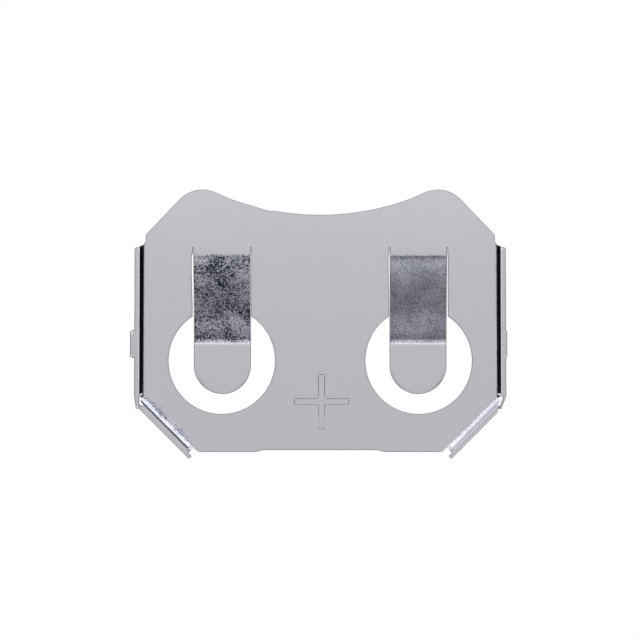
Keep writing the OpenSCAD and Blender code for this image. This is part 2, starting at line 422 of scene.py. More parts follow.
FLAT_ROOT = ((0.0, 0.0),)
LOWER_CREASE = ((5.12, 2.0), (5.2, -4.6), (5.3, -1.6), (5.42, 0.0))
EVEN_RAMP = ((0.17, 13.6), (0.26, 13.2), (0.48, 11.6), (0.8, 11.7), (1.4, 12.6), (2.4, 13.3),
             (3.1, 13.1), (3.8, 12.0), (4.5, 12.0), (4.93, 12.9), (5.03, 12.0))
STEEPER_RAMP = ((0.17, 13.9), (0.26, 13.4), (0.46, 11.7), (0.7, 12.3), (1.3, 13.4), (2.4, 13.9),
                (3.1, 14.2), (3.7, 12.9), (4.5, 12.7), (4.93, 13.6), (5.03, 12.5))


@dataclass(frozen=True)
class Finger:
    """One lanced spring finger: a creased root, a slightly bowed ramp and a flat round tip.

    The ramp is given as places along the sheet, in millimetres from the root, with their slopes in
    degrees. Rows are stretches of the finger: start, end and distance between rows of points.
    """

    middle: float
    width: float = 3.27
    root: float = 3.853
    tip: float = -4.155
    drop: float = 1.1
    ramp: tuple[tuple[float, float], ...] = EVEN_RAMP
    blur_half: int = 9
    table_step: float = 0.005
    table_length: float = 9.0
    slot_end: float = 4.16
    slot_spots: tuple[float, ...] = (2.9, 1.8, 1.0, 0.16)
    slot_taper: float = 0.8
    slot_shoulder: float = 0.02
    gap_left: float = 0.075
    gap_right: float = 0.045
    gap_top: float = 0.025
    gap_low: float = 0.04
    past_tip: float = 0.6
    work: float = 0.6
    work_rise: float = 0.15
    work_end: float = 5.2
    # The lower crease's high worked share draws painted pit shade and painted glints along it.
    crease_at: float = 5.12
    crease_width: float = 0.12
    crease_work: float = 0.9
    press_depth: float = 0.045
    press_width: float = 0.2
    press_angle: float = 42.0
    press_spread: float = 34.0
    rows: tuple[tuple[float, float, float], ...] = (
        (0.0, 0.6, 0.03), (0.6, 4.85, 0.09), (4.85, 5.5, 0.025), (5.5, 8.4, 0.25),
    )
    columns: int = 36
    rim_rows: int = 4
    rim_inset: float = 0.09
    rim_step: float = 0.06
    rim_clear: float = 0.03
    tip_step: float = 0.08
    edge_reach: float = 2.0
    edge_creases: tuple[tuple[float, float], ...] = ((-0.1, 0.6), (4.8, 5.5))
    edge_fine: float = 0.03
    edge_plain: float = 0.1

    @property
    def half(self) -> float:
        """Half of the finger's width, which is also the radius of its tip."""
        return self.width / 2

    @property
    def tip_centre(self) -> float:
        """Place of the round tip's centre in the flat sheet."""
        return self.flat_y(self.tip + self.half)

    def table(self) -> tuple[np.ndarray, np.ndarray, np.ndarray, np.ndarray]:
        """Adds up the slopes along the finger.

        Returns:
            Length of sheet, run, drop and slope in radians, from the root on.
        """
        length = np.arange(0.0, self.table_length, self.table_step)
        keys, slopes = (np.array(column) for column in zip(*(FLAT_ROOT + self.ramp + LOWER_CREASE)))
        blur = np.hanning(2 * self.blur_half + 1)
        steep = np.pad(np.interp(length, keys, slopes), self.blur_half, mode="edge")
        soft = np.radians(np.convolve(steep, blur / blur.sum(), mode="valid"))
        fall = np.concatenate([[0.0], np.cumsum(np.sin(soft[:-1])) * self.table_step])
        soft = soft * (self.drop / fall[-1])
        fall = np.concatenate([[0.0], np.cumsum(np.sin(soft[:-1])) * self.table_step])
        run = np.concatenate([[0.0], np.cumsum(np.cos(soft[:-1])) * self.table_step])
        return length, run, fall * (self.drop / fall[-1]), soft

    def at(self, length: np.ndarray) -> tuple[np.ndarray, np.ndarray, np.ndarray]:
        """Folds lengths of sheet.

        Args:
            length: Lengths of sheet from the root's crease on.

        Returns:
            Distance to the rear, depth and slope.
        """
        lengths, run, fall, slope = self.table()
        return (np.interp(length, lengths, run), np.interp(length, lengths, fall),
                np.interp(length, lengths, slope))

    def flat_y(self, plan_y: float) -> float:
        """Finds where a place on the folded finger lies in the flat sheet."""
        lengths, run, _, _ = self.table()
        return self.root - float(np.interp(self.root - plan_y, run, lengths))

    def slot(self, widest: float) -> list[tuple[float, float]]:
        """Draws one slot beside the finger, which gapes where the ramp sets off.

        Args:
            widest: Its width beside the upper part of the ramp.

        Returns:
            Widths and places along the finger, from the window to the slot's end.
        """
        gaps = (self.gap_low, self.slot_taper * widest, widest, widest)
        line = [(gap, self.root - spot) for gap, spot in zip(gaps, self.slot_spots)]
        return line + [(self.gap_top, self.root + self.slot_shoulder), (self.gap_top, self.slot_end)]

    def holds(self, x: np.ndarray, y: np.ndarray) -> np.ndarray:
        """Tells which points of the flat sheet belong to the finger's folded part."""
        near = np.abs(x - self.middle) < self.half + self.gap_top / 2
        return near & (y < self.root) & (y > self.tip - self.past_tip)

    def pressed(self, x: np.ndarray, y: np.ndarray) -> np.ndarray:
        """Finds how far the rim of the tip is pressed down at both rear corners.

        Args:
            x: Places across the flat sheet.
            y: Places along the flat sheet.

        Returns:
            Depth at each place.
        """
        centre = self.tip_centre
        angle = np.degrees(np.arctan2(y - centre, np.abs(x - self.middle)))
        inward = self.half - np.hypot(x - self.middle, y - centre)
        share = np.clip(1 - inward / self.press_width, 0.0, 1.0) ** 2
        spread = np.clip(1 - np.abs(angle + self.press_angle) / self.press_spread, 0.0, 1.0)
        return np.where(y < centre, self.press_depth * share * np.sqrt(spread), 0.0)

    def worked(self, length: np.ndarray) -> np.ndarray:
        """Finds how much the metal was worked along the finger, which also sets how much painted
        reflection tint, pit shade and glints it shows, most at the lower crease.

        Args:
            length: Lengths of sheet from the root's crease on.

        Returns:
            Shares from 0, as rolled, to 1.
        """
        rise = np.clip(length / self.work_rise, 0, 1)
        fade = np.clip((self.work_end - length) / self.crease_width, 0, 1)
        # The lower crease gets a high share, so painted pit shade and glints break it into dark and bright
        # blobs.
        crease = np.clip(1 - np.abs(length - self.crease_at) / self.crease_width, 0, 1)
        return np.maximum(self.work * rise * fade, self.crease_work * np.sqrt(crease))

    def edge_step(self, length: float) -> float:
        """Finds how close together the points of the finger's outline lie.

        Args:
            length: Length of sheet from the root's crease on.

        Returns:
            The distance between points.
        """
        creased = any(low < length < high for low, high in self.edge_creases)
        return self.edge_fine if creased else self.edge_plain

    def points(self) -> np.ndarray:
        """Lists points inside the finger, closer together along its creases and its rim.

        Returns:
            The points in the flat sheet.
        """
        steps = np.concatenate([np.arange(*row) for row in self.rows])
        across = np.linspace(-self.half, self.half, self.columns)
        x, y = np.meshgrid(self.middle + across, self.root - steps)
        centre = self.tip_centre
        rims = [arc(self.middle, centre, self.half - inward, 185.0, 355.0, self.rim_step)
                for inward in np.linspace(self.rim_inset, self.press_width, self.rim_rows)]
        grid = np.column_stack([x.ravel(), y.ravel()])
        near = self.half - np.hypot(grid[:, 0] - self.middle, grid[:, 1] - centre)
        grid = grid[(grid[:, 1] > centre) | (near > self.press_width + self.rim_clear)]
        return np.vstack([grid] + rims)


@dataclass(frozen=True)
class PlusMark:
    """The pressed plus sign, a shallow groove on the plate."""

    middle: tuple[float, float] = (0.075, -4.633)
    half_length: float = 1.57
    half_width: float = 0.2
    depth: float = 0.036
    bank: float = 0.05
    bank_rows: tuple[float, ...] = (-0.3, 0.0, 0.33, 0.67, 1.0, 1.4)
    clear: float = 0.1
    point_step: float = 0.08

    def rings(self) -> list[np.ndarray]:
        """Draws the lines that the groove's bank follows."""
        return [self.ring(-share * self.bank) for share in self.bank_rows]

    def ring(self, grow: float) -> np.ndarray:
        """Draws a closed line along the sign's outline.

        Args:
            grow: How far the line lies outside the outline.

        Returns:
            Its points, which pair off with those of every other ring.
        """
        corners = [np.array(corner) for corner in self.corners(0.0)]
        moved = [np.array(corner) for corner in self.corners(grow)]
        points = []
        for place, corner in enumerate(corners):
            far = corners[(place + 1) % len(corners)]
            count = math.ceil(float(np.linalg.norm(far - corner)) / self.point_step)
            end = moved[(place + 1) % len(moved)]
            points += [moved[place] + (end - moved[place]) * k / count for k in range(count)]
        return np.array(points)

    def corners(self, grow: float) -> list[tuple[float, float]]:
        """Lists the sign's corners.

        Args:
            grow: How far the outline lies outside the sign's own.

        Returns:
            Twelve corners, anticlockwise.
        """
        far = self.half_length + grow
        near = self.half_width + grow
        arm = [(far, -near), (far, near), (near, near)]
        cx, cy = self.middle
        turned = []
        for _ in range(4):
            turned += [(cx + x, cy + y) for x, y in arm]
            arm = [(-y, x) for x, y in arm]
        return turned

    def sunk(self, x: np.ndarray, y: np.ndarray) -> np.ndarray:
        """Finds how deep the groove is.

        Args:
            x: Places across the plate.
            y: Places along the plate.

        Returns:
            Depth at each place.
        """
        across = np.abs(x - self.middle[0])
        along = np.abs(y - self.middle[1])
        bar = np.minimum(self.half_length - across, self.half_width - along)
        post = np.minimum(self.half_width - across, self.half_length - along)
        share = np.clip(np.maximum(bar, post) / self.bank, 0.0, 1.0)
        return self.depth * share * share * (3 - 2 * share)


@dataclass(frozen=True)
class Corner:
    """One corner of an outline, with the radius that rounds it."""

    x: float
    y: float
    radius: float = 0.0

    @property
    def spot(self) -> np.ndarray:
        """The corner's place as a vector."""
        return np.array([self.x, self.y])


def rounded(corners: list[Corner], points: int = 9) -> list[tuple[float, float]]:
    """Turns corners into an open line of points.

    Args:
        corners: The corners in order.
        points: Number of points on each rounded corner.

    Returns:
        The points, with an arc at each rounded corner.
    """
    line = []
    for place, corner in enumerate(corners):
        here = corner.spot
        if corner.radius <= 0 or place in (0, len(corners) - 1):
            line.append(tuple(here))
            continue
        before = corners[place - 1].spot - here
        after = corners[place + 1].spot - here
        before /= np.linalg.norm(before)
        after /= np.linalg.norm(after)
        half = math.acos(float(np.clip(before @ after, -1, 1))) / 2
        inward = (before + after) / np.linalg.norm(before + after)
        centre = here + inward * corner.radius / math.sin(half)
        start = here + before * corner.radius / math.tan(half) - centre
        end = here + after * corner.radius / math.tan(half) - centre
        first = math.atan2(start[1], start[0])
        turn = (math.atan2(end[1], end[0]) - first + math.pi) % (2 * math.pi) - math.pi
        for share in np.linspace(0.0, 1.0, points):
            angle = first + turn * share
            line.append((centre[0] + corner.radius * math.cos(angle),
                         centre[1] + corner.radius * math.sin(angle)))
    return line


def arc(cx: float, cy: float, radius: float, start: float, end: float,
        step: float = 0.1) -> list[tuple[float, float]]:
    """Lists points on an arc.

    Args:
        cx: Centre across.
        cy: Centre along.
        radius: Radius.
        start: First angle in degrees.
        end: Last angle in degrees.
        step: Distance between points.

    Returns:
        The points in order.
    """
    count = max(2, math.ceil(abs(math.radians(end - start)) * radius / step) + 1)
    return [(cx + radius * math.cos(a), cy + radius * math.sin(a))
            for a in np.radians(np.linspace(start, end, count))]


@dataclass(frozen=True)
class Side:
    """What differs between the right and the left side of the piece.

    The lean is the foot's turn at the seam in degrees, and punched says whether the hollow carries the
    small step of a second punch there.
    """

    lean: float
    stop_round: float
    stub: float
    punched: bool = False


@dataclass(frozen=True)
class StopCut:
    """Sizes of the outline of a stop wall and its foot, in millimetres."""

    foot: float = 0.26
    foot_over: float = 0.27
    inset: float = 0.62
    lip: float = 0.1
    lip_round: float = 0.04
    foot_round: float = 0.045
    seam_inset: float = 0.14


@dataclass(frozen=True)
class SideCut:
    """Sizes of the outline of a side wall and its foot, with the foot's tail and stub."""

    foot: float = 0.34
    foot_over: float = 0.27
    foot_round: float = 0.16
    small_round: float = 0.03
    rear_inset: float = 0.33
    front_inset: float = 0.28
    relief: float = 0.33
    relief_from: float = 10.0
    relief_points: int = 9
    tail_length: float = 0.38
    tail_width: float = 0.14
    tail_start: float = 0.37
    tail_round: float = 0.08
    stub_rear: float = -1.95
    stub_front: float = -0.25
    stub_bank_rear: float = 0.08
    stub_bank_front: float = 0.16
    stub_round: float = 0.02


@dataclass(frozen=True)
class FillPlan:
    """Where the flat sheet gets points between its outlines, in millimetres."""

    side_span: tuple[float, float] = (-5.0, 4.4)
    stop_span: tuple[float, float] = (-0.6, 4.6)
    ear_rings: tuple[float, ...] = (0.05, 0.1, 0.14)
    ear_step: float = 0.04
    plate_reach: tuple[float, float] = (9.6, 7.2)
    plate_step: float = 0.4
    finger_clear: float = 0.2
    finger_span: tuple[float, float] = (-4.6, 4.3)
    clear_share: float = 0.6
    clear_step: float = 0.06
    clear_least: float = 0.012


@dataclass
class Retainer:
    """The whole folded piece: plate, walls, feet and fingers from one flat sheet, in millimetres."""

    top: float
    half_length: float
    stock: SheetStock = field(default_factory=SheetStock)
    finish: BrightPlate = field(default_factory=BrightPlate)
    plus: PlusMark = field(default_factory=PlusMark)
    right: Side = field(default_factory=lambda: Side(19.0, 0.2, 0.06))
    left: Side = field(default_factory=lambda: Side(-7.0, 0.05, 0.25, punched=True))
    stop_cut: StopCut = field(default_factory=StopCut)
    side_cut: SideCut = field(default_factory=SideCut)
    fill: FillPlan = field(default_factory=FillPlan)
    side_edge: float = 9.97
    stop_edge: float = 10.1328
    window_x: float = 5.61
    window_back: float = 2.3
    window_radius: float = 3.035
    foot_inset: float = 0.03
    seam_gap: float = 0.16
    seam_play: float = 0.03
    seam_angle: float = -22.5
    ear: float = 0.185
    ear_from: float = -40.0
    ear_reach: float = 0.3
    rear_step: float = 0.11
    rear_step_start: float = 3.22
    rear_step_end: float = 3.68
    front_round: float = 0.06
    horn: float = 1.8
    horn_in: float = 3.24
    corner_slope: float = 46.5
    flank_slope: float = 24.0
    hollow: float = 14.9
    hollow_dip: float = 1.45
    punch_step: float = 0.07
    punch_start: float = 2.72
    punch_length: float = 1.15
    edge_step: float = 0.12
    edge_fine: float = 0.03
    near_bend: float = 0.02
    bend_work: float = 0.5
    # Worked shares also set the painted reflection tint, pit shade and glints; the band along the left
    # stop bend line is drawn as a dark line of them.
    left_stop_line_work: float = 0.9
    left_stop_line_width: float = 0.08
    left_stop_line_margin: float = 0.01

    def __post_init__(self) -> None:
        """Works out what the sizes give."""
        self.section = WallSection(self.stock, self.top)
        self.fingers = (
            Finger(-self.window_x, ramp=STEEPER_RAMP, gap_left=0.1, work=1.0),
            Finger(self.window_x),
        )
        self.bend_corner = np.array([self.side_edge, self.side_edge - DIAGONAL * self.stop_edge])
        side_out = self.side_edge + self.stock.bend_out
        self.outer_corner_y = side_out - DIAGONAL * (self.stop_edge + self.stock.bend_out)
        self.outer_corner_v = (side_out + self.outer_corner_y) / DIAGONAL
        self.plate_corner_v = self.stop_edge - self.half_length * DIAGONAL
        self.side_rear = self.outer_corner_y + self.side_cut.rear_inset
        slope = math.radians(self.corner_slope)
        self.horn_x = self.side_edge - self.horn_in
        self.horn_y = self.half_length - self.horn
        self.horn_end = Corner(self.horn_x + self.horn * math.sin(slope),
                               self.horn_y + self.horn * math.cos(slope))
        self.front_corner = self.horn_end.y - (self.side_edge - self.horn_end.x) * math.tan(slope)
        self.side_front = self.front_corner - self.side_cut.front_inset - self.side_cut.relief

    def stop_point(self, length: float, v: float) -> tuple[float, float]:
        """Places a point of the stop wing in the flat sheet.

        Args:
            length: Length of sheet from the stop bend line outwards.
            v: Place along the bend line.

        Returns:
            The point in the flat sheet.
        """
        n = self.stop_edge + length
        return (n + v) / DIAGONAL, (v - n) / DIAGONAL

    def stop_seam(self, side: Side, length: float) -> float:
        """Finds where the stop foot ends at the seam.

        Args:
            side: Which side it is.
            length: Length of sheet from the stop bend line outwards.

        Returns:
            Place along the bend line.
        """
        out = length - self.section.foot_start + self.section.foot_plan - self.stock.bend_out
        gap = self.seam_gap / DIAGONAL
        return self.outer_corner_v + gap - (out - gap) / math.tan(math.radians(45 - side.lean))

    def stop_outline(self, side: Side) -> list[tuple[float, float]]:
        """Draws the stop wall and its foot, from the plate's rear corner to the seam.

        Args:
            side: Which side it is.

        Returns:
            The line of points.
        """
        cut = self.stop_cut
        low = self.plate_corner_v + cut.inset
        high = self.outer_corner_v - cut.seam_inset
        lip = self.section.unrolled(cut.lip)
        inner = self.section.foot_start + self.foot_inset
        outer = self.section.foot_start + cut.foot
        spots = [
            (0.0, self.plate_corner_v, 0.0),
            (lip, self.plate_corner_v + cut.lip, 0.0),
            (lip, low, cut.lip_round),
            (inner, low, 0.0),
            (inner, low - cut.foot_over, 0.0),
            (outer, low - cut.foot_over, cut.foot_round),
            (outer, self.stop_seam(side, outer), side.stop_round),
            (inner, self.stop_seam(side, inner), 0.0),
            (inner, high, 0.0),
            (self.ear, high, 0.0),
        ]
        return rounded([Corner(*self.stop_point(s, v), r) for s, v, r in spots])

    def tail_x(self, side: Side, y: float) -> float:
        """Finds the inner edge of the side foot's tail in the flat sheet.

        Args:
            side: Which side it is.
            y: Place along the tail.

        Returns:
            Place across.
        """
        lean = math.radians(side.lean)
        plan = (self.stock.bend_out + self.seam_gap + math.tan(lean) * (y - self.outer_corner_y)
                + self.seam_play / math.cos(lean))
        return self.side_edge + self.section.foot_start + plan - self.section.foot_plan

    def side_outline(self, side: Side) -> list[tuple[float, float]]:
        """Draws the ear, the side wall, its foot with tail and stub, and the relief.

        Args:
            side: Which side it is.

        Returns:
            The line of points.
        """
        cut = self.side_cut
        cx, cy = self.bend_corner
        ear_to = math.degrees(math.asin(min((self.side_rear - cy) / self.ear, 1.0)))
        line = arc(cx, cy, self.ear, self.ear_from, ear_to, self.edge_fine)
        base = self.side_edge + self.section.foot_start
        inner = base + self.foot_inset
        outer = base + cut.foot
        stub = outer + side.stub
        tail_y = self.outer_corner_y - cut.tail_length
        tail_x = self.tail_x(side, tail_y)
        front = self.side_front + cut.foot_over
        corners = [
            Corner(*line[-1]),
            Corner(max(self.tail_x(side, self.side_rear), base), self.side_rear, cut.small_round),
            Corner(tail_x, tail_y),
            Corner(tail_x + cut.tail_width, tail_y, cut.small_round),
            Corner(outer, self.outer_corner_y + cut.tail_start, cut.tail_round),
            Corner(outer, cut.stub_rear),
            Corner(stub, cut.stub_rear + cut.stub_bank_rear, cut.stub_round),
            Corner(stub, cut.stub_front - cut.stub_bank_front, cut.stub_round),
            Corner(outer, cut.stub_front),
            Corner(outer, front, cut.foot_round),
            Corner(inner, front, cut.small_round),
            Corner(inner, self.side_front),
            Corner(self.side_edge + self.section.unrolled(cut.relief), self.side_front),
        ]
        line += rounded(corners)[1:]
        for angle in np.radians(np.linspace(cut.relief_from, 90, cut.relief_points)):
            plan = cut.relief * (1 - math.sin(angle))
            line.append((self.side_edge + self.section.unrolled(plan),
                         self.side_front + cut.relief * (1 - math.cos(angle))))
        return line

    def punched(self, x: float, y: float) -> tuple[float, float]:
        """Lowers a point of the hollow's edge by the step that the second punch left."""
        past = x - self.punch_start
        return x, y - self.punch_step * (1 - past / self.punch_length) * (0 < past < self.punch_length)

    def front_outline(self, side: Side) -> list[tuple[float, float]]:
        """Draws the front edge, from the relief round the horn to the hollow's middle.

        Args:
            side: Which side it is.

        Returns:
            The line of points.
        """
        line = rounded([Corner(self.side_edge, self.side_front + self.side_cut.relief),
                        Corner(self.side_edge, self.front_corner, self.front_round),
                        self.horn_end])[1:-1]
        line += arc(self.horn_x, self.horn_y, self.horn, 90 - self.corner_slope, 90 + self.flank_slope)
        flank = math.radians(self.flank_slope)
        way = -np.array([math.cos(flank), math.sin(flank)])
        centre = np.array([0.0, self.half_length - self.hollow_dip + self.hollow])
        start = np.array(line[-1]) - centre
        reach = -(start @ way) + math.sqrt((start @ way) ** 2 - start @ start + self.hollow ** 2)
        meet = start + way * reach
        bowl = arc(*centre, self.hollow, math.degrees(math.atan2(meet[1], meet[0])), -90.0)
        return line + ([self.punched(x, y) for x, y in bowl] if side.punched else bowl)

    def half_outline(self, side: Side) -> list[tuple[float, float]]:
        """Draws one half of the flat sheet's outline, from the rear edge to the hollow's middle.

        Args:
            side: Which side it is.

        Returns:
            The line of points.
        """
        rear = -self.half_length
        stepped = rear + self.rear_step
        line = [(0.0, stepped), (self.rear_step_start, stepped), (self.rear_step_end, rear)]
        return line + self.stop_outline(side) + self.side_outline(side) + self.front_outline(side)

    def loops(self) -> list[np.ndarray]:
        """Draws the outlines of the flat sheet, with the metal on the left of each.

        Returns:
            The outer outline and the two windows.
        """
        left = [(-x, y) for x, y in self.half_outline(self.left)]
        outer = self.half_outline(self.right) + left[::-1][1:-1]
        return [self.closely(outer)] + [self.closely(self.window(f)) for f in self.fingers]

    def window(self, finger: Finger) -> list[tuple[float, float]]:
        """Draws a window with the finger in it.

        Args:
            finger: The finger.

        Returns:
            The closed line of points, clockwise round the opening.
        """
        x = finger.middle
        half = finger.half

        def rim(edge: float) -> float:
            """Finds the angle at which the round rim meets a slot's outer edge."""
            return math.degrees(math.acos(edge / self.window_radius))

        low = half + finger.gap_low
        line = arc(x, -self.window_back, self.window_radius, rim(low), rim(-low) - 360.0)
        line += [(x - half - gap, y) for gap, y in finger.slot(finger.gap_left)]
        line += [(x - half, finger.slot_end)]
        line += arc(x, finger.tip_centre, half, 180.0, 360.0, finger.tip_step)
        line += [(x + half, finger.slot_end)]
        line += [(x + half + gap, y) for gap, y in finger.slot(finger.gap_right)[::-1]]
        return line

    def local_step(self, x: float, y: float) -> float:
        """Finds how close together the outline's points lie.

        Args:
            x: Place across the flat sheet.
            y: Place along the flat sheet.

        Returns:
            The distance between points.
        """
        take = self.stock.bend_length
        for length in (abs(x) - self.side_edge, (abs(x) - y) / DIAGONAL - self.stop_edge):
            for past in (length, length - take - self.section.wall):
                if -self.near_bend < past < take + self.near_bend:
                    return self.section.bend_step
        for finger in self.fingers:
            if abs(x - finger.middle) < finger.edge_reach and y < finger.slot_end:
                return finger.edge_step(finger.root - y)
        return self.edge_step

    def closely(self, line: list[tuple[float, float]], passes: int = 2) -> np.ndarray:
        """Adds points along a closed line, as close together as the folds need.

        Args:
            line: The line's corners.
            passes: How often the line is gone over.

        Returns:
            All its points.
        """
        for _ in range(passes):
            dense = []
            for place, start in enumerate(line):
                a, b = np.array(start), np.array(line[(place + 1) % len(line)])
                length = float(np.linalg.norm(b - a))
                if length < 1e-6:
                    continue
                step = min(self.local_step(*((a + b) / 2)), self.edge_step)
                count = max(1, math.ceil(length / step - 0.01))
                dense += [tuple(a + (b - a) * k / count) for k in range(count)]
            line = dense
        return np.array(line)

    def unfolded(self, right: np.ndarray) -> tuple[np.ndarray, np.ndarray, np.ndarray]:
        """Finds where points of the right half leave the plate, and in which direction.

        Args:
            right: Points of the flat sheet's right half.

        Returns:
            Places on the plate or its bend line, the way outwards from there, and the lengths of sheet
            past the bend line, which are negative on the plate.
        """
        way = np.zeros_like(right)
        length = np.full(len(right), -1.0)
        rel = right - self.bend_corner
        far = np.linalg.norm(rel, axis=1)
        angle = np.degrees(np.arctan2(rel[:, 1], rel[:, 0]))
        past_stop = (right[:, 0] - right[:, 1]) / DIAGONAL - self.stop_edge

        on_side = (rel[:, 0] > 0) & (angle > self.seam_angle)
        length[on_side] = rel[on_side, 0]
        way[on_side] = (1.0, 0.0)
        on_stop = (past_stop > 0) & (angle < self.seam_angle)
        length[on_stop] = past_stop[on_stop]
        way[on_stop] = np.array([1.0, -1.0]) / DIAGONAL
        on_ear = (angle < 0) & (angle > 2 * self.seam_angle) & (far < self.ear_reach) & (far > 1e-9)
        length[on_ear] = far[on_ear]
        way[on_ear] = rel[on_ear] / far[on_ear, None]
        return right - way * np.maximum(length, 0.0)[:, None], way, length

    def fold(self, flat: np.ndarray, depth: np.ndarray) -> np.ndarray:
        """Folds points of the flat sheet.

        Args:
            flat: Points in the flat sheet.
            depth: How far below the upper face each point lies.

        Returns:
            The folded points.
        """
        hand = np.where(flat[:, 0] < 0, -1.0, 1.0)
        base, way, length = self.unfolded(np.column_stack([np.abs(flat[:, 0]), flat[:, 1]]))
        out, height, turn = self.section.at(np.maximum(length, 0.0))
        place = np.column_stack([base + way * out[:, None], height])
        normal = np.column_stack([way * np.sin(turn)[:, None], np.cos(turn)])
        place[:, 0] *= hand
        normal[:, 0] *= hand
        for finger in self.fingers:
            on = finger.holds(flat[:, 0], flat[:, 1])
            run, fall, slope = finger.at(finger.root - flat[on, 1])
            place[on, 1] = finger.root - run
            place[on, 2] = self.top - fall - finger.pressed(flat[on, 0], flat[on, 1])
            normal[on] = np.column_stack([np.zeros(on.sum()), -np.sin(slope), np.cos(slope)])
        sunk = self.plus.sunk(flat[:, 0], flat[:, 1]) * (1 - depth / self.stock.thick)
        return place - normal * (depth + sunk)[:, None]

    def facing(self, flat: np.ndarray, depth: np.ndarray) -> np.ndarray:
        """Finds which way the folded sheet's face looks.

        Args:
            flat: Points in the flat sheet.
            depth: How far below the upper face each point lies.

        Returns:
            Unit vectors out of the upper face.
        """
        step = np.array([TINY, 0.0])
        along = self.fold(flat + step, depth) - self.fold(flat - step, depth)
        step = np.array([0.0, TINY])
        across = self.fold(flat + step, depth) - self.fold(flat - step, depth)
        normal = np.cross(along, across)
        return normal / np.linalg.norm(normal, axis=1)[:, None]

    def wing_points(self) -> np.ndarray:
        """Lists points on the walls and feet of the right side.

        Returns:
            The points in the flat sheet, closer together along the bends.
        """
        side = [(self.side_edge + length, y)
                for length in self.section.rows(self.side_cut.foot + self.left.stub)
                for y in np.arange(*self.fill.side_span, self.edge_step)]
        stop = [self.stop_point(length, v) for length in self.section.rows(self.stop_cut.foot)
                for v in np.arange(*self.fill.stop_span, self.edge_step)]
        ear = [point for radius in self.fill.ear_rings
               for point in arc(*self.bend_corner, radius, 2 * self.seam_angle, 0.0, self.fill.ear_step)]
        return np.array(side + stop + ear)

    def plate_points(self) -> np.ndarray:
        """Lists points on the plate, clear of the fingers and the plus sign.

        Returns:
            The points in the flat sheet.
        """
        step = self.fill.plate_step
        across, along = (np.arange(-reach, reach + step / 2, step) for reach in self.fill.plate_reach)
        points = np.array([(x, y) for x in across for y in along])
        low, high = self.fill.finger_span
        on_finger = np.any([np.abs(points[:, 0] - finger.middle) < finger.half + self.fill.finger_clear
                            for finger in self.fingers], axis=0)
        on_finger &= (points[:, 1] > low) & (points[:, 1] < high)
        return points[~on_finger & ~inside(points, [self.plus.ring(self.plus.clear)])]

    def fill_points(self, loops: list[np.ndarray]) -> np.ndarray:
        """Lists the points between the outlines.

        Args:
            loops: The inset outlines.

        Returns:
            The points that lie well inside.
        """
        wings = self.wing_points()
        fingers = [finger.points() for finger in self.fingers]
        points = np.vstack([wings, wings * (-1.0, 1.0), self.plate_points()] + fingers)
        rim = np.vstack(loops)
        tree = KDTree(len(rim))
        for place, (x, y) in enumerate(rim):
            tree.insert((x, y, 0.0), place)
        tree.balance()
        steps = [min(self.local_step(x, y), self.fill.clear_step) for x, y in points]
        clear = self.fill.clear_share * np.array(steps) + self.fill.clear_least
        away = np.array([tree.find((x, y, 0.0))[2] for x, y in points])
        return points[(away > clear) & inside(points, loops)]

    def rim(self, loop: np.ndarray, out: np.ndarray) -> tuple[np.ndarray, np.ndarray, np.ndarray]:
        """Rolls the cut edge along one inset outline.

        Args:
            loop: The inset outline.
            out: The way out of the metal at each of its points.

        Returns:
            Places, normals and shares of cut metal, row by row from the upper face down.
        """
        places, normals, cuts = [], [], []
        for reach, depth, tilt in self.stock.rim_rows():
            level = np.full(len(loop), depth)
            away = self.fold(loop + TINY * out, level) - self.fold(loop - TINY * out, level)
            away /= np.linalg.norm(away, axis=1)[:, None]
            places.append(self.fold(loop + reach * out, level))
            normals.append(math.cos(tilt) * self.facing(loop, level) + math.sin(tilt) * away)
            cuts.append(np.full(len(loop), math.sin(tilt)))
        return np.vstack(places), np.vstack(normals), np.concatenate(cuts)

    def worked(self, points: np.ndarray) -> np.ndarray:
        """Finds how much the metal was worked at each point of the flat sheet, which also sets how much
        painted reflection tint, pit shade and glints it shows.

        Args:
            points: Points in the flat sheet.

        Returns:
            Shares from 0, as rolled, to 1.
        """
        x, y = points[:, 0], points[:, 1]
        past_stop = (np.abs(x) - y) / DIAGONAL - self.stop_edge
        past = np.maximum(np.abs(x) - self.side_edge, past_stop)
        # Bends get a middle share, which lays the painted reflection tint with some painted pit shade and
        # glints on them.
        share = np.where((past > 0) & (past < self.stock.bend_length), self.bend_work, 0.0)
        for finger in self.fingers:
            on = finger.holds(x, y)
            share[on] = finger.worked(finger.root - y[on])
        # A narrow band along the left stop bend line gets a high share, so painted pit shade and glints
        # draw a dark line there.
        left_stop_line = (x < 0) & (past_stop > -self.left_stop_line_margin) & (past < self.left_stop_line_width)
        share[left_stop_line] = self.left_stop_line_work
        return share

    def mesh(self) -> bpy.types.Mesh:
        """Cuts, folds and rounds the sheet.

        Returns:
            One closed mesh in metres.
        """
        loops = self.loops()
        outward = [outward_of(loop) for loop in loops]
        insets = [loop - self.stock.roll * out for loop, out in zip(loops, outward)]
        lines = insets + self.plus.rings()
        points = np.vstack(lines + [self.fill_points(insets)])
        starts = list(accumulate((len(line) for line in lines), initial=0))
        edges = [(start + k, start + (k + 1) % len(line))
                 for start, line in zip(starts, lines) for k in range(len(line))]
        triangles = triangulate(points, edges, insets)

        count = len(points)
        upper = np.zeros(count)
        lower = upper + self.stock.thick
        places = [self.fold(points, upper), self.fold(points, lower)]
        normals = [self.facing(points, upper), -self.facing(points, lower)]
        cuts = [np.zeros(2 * count)]
        faces = [tuple(t) for t in triangles] + [tuple(count + k for k in t[::-1]) for t in triangles]
        for start, loop, out in zip(starts, insets, outward):
            first = sum(len(part) for part in places)
            for found, kept in zip(self.rim(loop, out), (places, normals, cuts)):
                kept.append(found)
            firsts = [start, *range(first, first + len(places[-1]), len(loop)), start + count]
            for above, below in zip(firsts, firsts[1:]):
                faces += strip(range(above, above + len(loop)), range(below, below + len(loop)))

